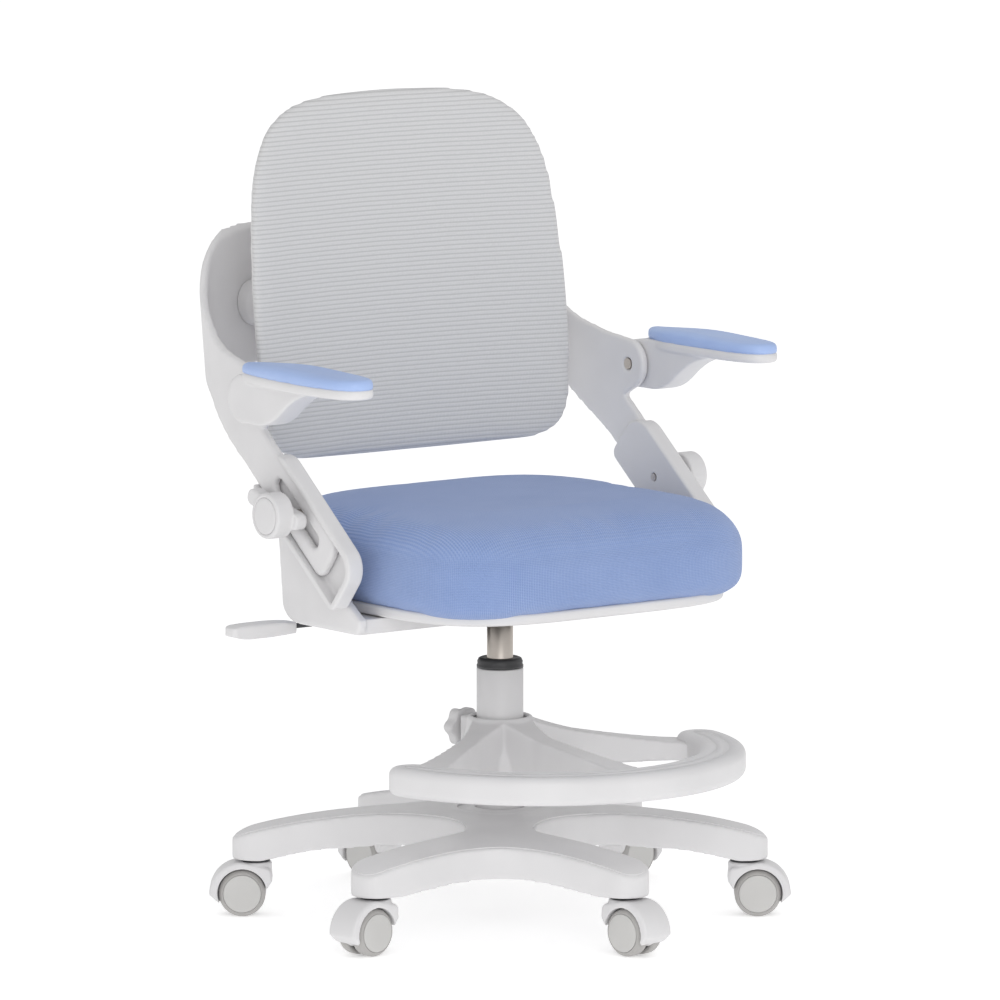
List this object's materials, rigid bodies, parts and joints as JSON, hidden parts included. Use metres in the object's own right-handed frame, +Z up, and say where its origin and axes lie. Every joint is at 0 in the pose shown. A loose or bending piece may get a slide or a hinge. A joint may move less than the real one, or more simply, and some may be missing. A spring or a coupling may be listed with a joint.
{
  "type": "children's study chair",
  "caption": "Height-adjustable children's desk chair with castor base, gas lift, foot ring, padded seat, flip-up armrests and a sliding, tilting knit backrest.",
  "frame": {"origin": "on the floor, on the axis of the column", "axes": "+Z up, -Y the way the sitter faces, +X to the sitter's left"},
  "size_m": [0.59, 0.6214, 0.8753],
  "materials": {
    "white_plastic": "injection moulded polypropylene, satin",
    "wheel_grey": "moulded polyurethane tread, satin",
    "dark_plastic": "black nylon",
    "steel": "ground and plated steel",
    "black_steel": "black powder coat",
    "blue_fabric": "ribbed polyester weave over foam",
    "grey_knit": "ribbed 3-D knit over foam",
    "arm_pad": "soft polyurethane",
    "plywood": "plain plywood"
  },
  "bodies": {
    "base": {"star_base": "white_plastic", "column_tube": "white_plastic", "column_bush": "dark_plastic", "piston_rod": "steel", "thrust_bearing": "steel", "retaining_clip": "black_steel"},
    "castor_1": {"castor_1_hood": "white_plastic"},
    "castor_1_wheel_a": {"castor_1_wheel_a": "wheel_grey"},
    "castor_1_wheel_b": {"castor_1_wheel_b": "wheel_grey"},
    "castor_2": {"castor_2_hood": "white_plastic"},
    "castor_2_wheel_a": {"castor_2_wheel_a": "wheel_grey"},
    "castor_2_wheel_b": {"castor_2_wheel_b": "wheel_grey"},
    "castor_3": {"castor_3_hood": "white_plastic"},
    "castor_3_wheel_a": {"castor_3_wheel_a": "wheel_grey"},
    "castor_3_wheel_b": {"castor_3_wheel_b": "wheel_grey"},
    "castor_4": {"castor_4_hood": "white_plastic"},
    "castor_4_wheel_a": {"castor_4_wheel_a": "wheel_grey"},
    "castor_4_wheel_b": {"castor_4_wheel_b": "wheel_grey"},
    "castor_5": {"castor_5_hood": "white_plastic"},
    "castor_5_wheel_a": {"castor_5_wheel_a": "wheel_grey"},
    "castor_5_wheel_b": {"castor_5_wheel_b": "wheel_grey"},
    "castor_6": {"castor_6_hood": "white_plastic"},
    "castor_6_wheel_a": {"castor_6_wheel_a": "wheel_grey"},
    "castor_6_wheel_b": {"castor_6_wheel_b": "wheel_grey"},
    "foot_collar": {"foot_ring_sleeve": "dark_plastic"},
    "foot_ring": {"foot_ring": "white_plastic"},
    "ring_knob": {"ring_knob": "white_plastic", "ring_knob_stud": "steel"},
    "lift": {"gas_cylinder": "steel"},
    "valve": {"release_pin": "steel"},
    "seat": {"seat_mechanism": "black_steel", "lever_bush": "dark_plastic", "bracket_right": "white_plastic", "bracket_left": "white_plastic", "rail_right": "white_plastic", "rail_left": "white_plastic", "lock_bolt_right": "steel", "lock_bolt_left": "steel", "seat_tray": "white_plastic", "seat_board": "plywood", "seat_cushion": "blue_fabric"},
    "lock_right": {"lock_knob_right": "white_plastic", "lock_cap_right": "white_plastic"},
    "lock_left": {"lock_knob_left": "white_plastic", "lock_cap_left": "white_plastic"},
    "yoke": {"yoke": "white_plastic", "back_hub_right": "white_plastic", "back_hub_left": "white_plastic", "back_pin_right": "steel", "back_pin_left": "steel", "arm_pin_right": "steel", "arm_pin_left": "steel"},
    "back": {"back_shell": "white_plastic", "back_pad": "grey_knit"},
    "arm_right": {"arm_right": "white_plastic", "arm_pad_right": "arm_pad"},
    "arm_left": {"arm_left": "white_plastic", "arm_pad_left": "arm_pad"},
    "lever": {"lift_lever": "black_steel", "lever_grip": "white_plastic"}
  },
  "joints": [
    {"name": "castor_1_swivel", "type": "hinge", "parent": "base", "child": "castor_1", "pos_m": [-0.20844, 0.15707, 0.058], "axis": [0, 0, 1], "continuous": true},
    {"name": "castor_1_roll_a", "type": "hinge", "parent": "castor_1", "child": "castor_1_wheel_a", "pos_m": [-0.21962, 0.1655, 0.025], "axis": [-0.6018, -0.7986, 0], "continuous": true},
    {"name": "castor_1_roll_b", "type": "hinge", "parent": "castor_1", "child": "castor_1_wheel_b", "pos_m": [-0.21962, 0.1655, 0.025], "axis": [-0.6018, -0.7986, 0], "continuous": true},
    {"name": "castor_2_swivel", "type": "hinge", "parent": "base", "child": "castor_2", "pos_m": [0.03181, 0.25905, 0.058], "axis": [0, 0, 1], "continuous": true},
    {"name": "castor_2_roll_a", "type": "hinge", "parent": "castor_2", "child": "castor_2_wheel_a", "pos_m": [0.02986, 0.27292, 0.025], "axis": [-0.9903, -0.1392, 0], "continuous": true},
    {"name": "castor_2_roll_b", "type": "hinge", "parent": "castor_2", "child": "castor_2_wheel_b", "pos_m": [0.02986, 0.27292, 0.025], "axis": [-0.9903, -0.1392, 0], "continuous": true},
    {"name": "castor_3_swivel", "type": "hinge", "parent": "base", "child": "castor_3", "pos_m": [0.24025, 0.10198, 0.058], "axis": [0, 0, 1], "continuous": true},
    {"name": "castor_3_roll_a", "type": "hinge", "parent": "castor_3", "child": "castor_3_wheel_a", "pos_m": [0.25412, 0.10393, 0.025], "axis": [-0.1392, 0.9903, 0], "continuous": true},
    {"name": "castor_3_roll_b", "type": "hinge", "parent": "castor_3", "child": "castor_3_wheel_b", "pos_m": [0.25412, 0.10393, 0.025], "axis": [-0.1392, 0.9903, 0], "continuous": true},
    {"name": "castor_4_swivel", "type": "hinge", "parent": "base", "child": "castor_4", "pos_m": [0.20844, -0.15707, 0.058], "axis": [0, 0, 1], "continuous": true},
    {"name": "castor_4_roll_a", "type": "hinge", "parent": "castor_4", "child": "castor_4_wheel_a", "pos_m": [0.21962, -0.1655, 0.025], "axis": [0.6018, 0.7986, 0], "continuous": true},
    {"name": "castor_4_roll_b", "type": "hinge", "parent": "castor_4", "child": "castor_4_wheel_b", "pos_m": [0.21962, -0.1655, 0.025], "axis": [0.6018, 0.7986, 0], "continuous": true},
    {"name": "castor_5_swivel", "type": "hinge", "parent": "base", "child": "castor_5", "pos_m": [-0.03181, -0.25905, 0.058], "axis": [0, 0, 1], "continuous": true},
    {"name": "castor_5_roll_a", "type": "hinge", "parent": "castor_5", "child": "castor_5_wheel_a", "pos_m": [-0.02986, -0.27292, 0.025], "axis": [0.9903, 0.1392, 0], "continuous": true},
    {"name": "castor_5_roll_b", "type": "hinge", "parent": "castor_5", "child": "castor_5_wheel_b", "pos_m": [-0.02986, -0.27292, 0.025], "axis": [0.9903, 0.1392, 0], "continuous": true},
    {"name": "castor_6_swivel", "type": "hinge", "parent": "base", "child": "castor_6", "pos_m": [-0.24025, -0.10198, 0.058], "axis": [0, 0, 1], "continuous": true},
    {"name": "castor_6_roll_a", "type": "hinge", "parent": "castor_6", "child": "castor_6_wheel_a", "pos_m": [-0.25412, -0.10393, 0.025], "axis": [0.1392, -0.9903, 0], "continuous": true},
    {"name": "castor_6_roll_b", "type": "hinge", "parent": "castor_6", "child": "castor_6_wheel_b", "pos_m": [-0.25412, -0.10393, 0.025], "axis": [0.1392, -0.9903, 0], "continuous": true},
    {"name": "foot_slide", "type": "slide", "parent": "base", "child": "foot_collar", "axis": [0, 0, 1], "range_m": [-0.035, 0.045]},
    {"name": "foot_turn", "type": "hinge", "parent": "foot_collar", "child": "foot_ring", "pos_m": [0, 0, 0.189], "axis": [0, 0, 1], "continuous": true},
    {"name": "ring_knob_turn", "type": "hinge", "parent": "foot_ring", "child": "ring_knob", "pos_m": [0, 0.066, 0.195], "axis": [0, 1, 0], "range_deg": [0, 360]},
    {"name": "gas_lift", "type": "slide", "parent": "base", "child": "lift", "axis": [0, 0, 1], "range_m": [0, 0.085]},
    {"name": "seat_swivel", "type": "hinge", "parent": "lift", "child": "seat", "pos_m": [0, 0, 0.32], "axis": [0, 0, 1], "continuous": true},
    {"name": "lever_lift", "type": "hinge", "parent": "seat", "child": "lever", "pos_m": [-0.06, 0.09, 0.319], "axis": [0, 1, 0], "range_deg": [0, 4], "stiffness_Nm_per_rad": 0.6, "springref_deg": -6.88},
    {"name": "valve_press", "type": "slide", "parent": "lift", "child": "valve", "axis": [0, 0, -1], "range_m": [0, 0.0044], "stiffness_N_per_m": 100, "springref_m": -0.002},
    {"name": "yoke_slide", "type": "slide", "parent": "seat", "child": "yoke", "axis": [0, -0.7771, -0.6293], "range_m": [-0.034, 0.014]},
    {"name": "lock_right_turn", "type": "hinge", "parent": "seat", "child": "lock_right", "pos_m": [-0.27, 0.02982, 0.44932], "axis": [-1, 0, 0], "range_deg": [0, 360]},
    {"name": "lock_left_turn", "type": "hinge", "parent": "seat", "child": "lock_left", "pos_m": [0.27, 0.02982, 0.44932], "axis": [1, 0, 0], "range_deg": [0, 360]},
    {"name": "back_tilt", "type": "hinge", "parent": "yoke", "child": "back", "pos_m": [0, 0.238, 0.644], "axis": [1, 0, 0], "range_deg": [-8, 8]},
    {"name": "arm_right_flip", "type": "hinge", "parent": "yoke", "child": "arm_right", "pos_m": [-0.26, 0.085, 0.567], "axis": [-1, 0, 0], "range_deg": [0, 90]},
    {"name": "arm_left_flip", "type": "hinge", "parent": "yoke", "child": "arm_left", "pos_m": [0.26, 0.085, 0.567], "axis": [-1, 0, 0], "range_deg": [0, 90]}
  ],
  "couplings": [
    {"joint": "valve_press", "follows": "lever_lift", "m_per_rad": 0.06}
  ]
}
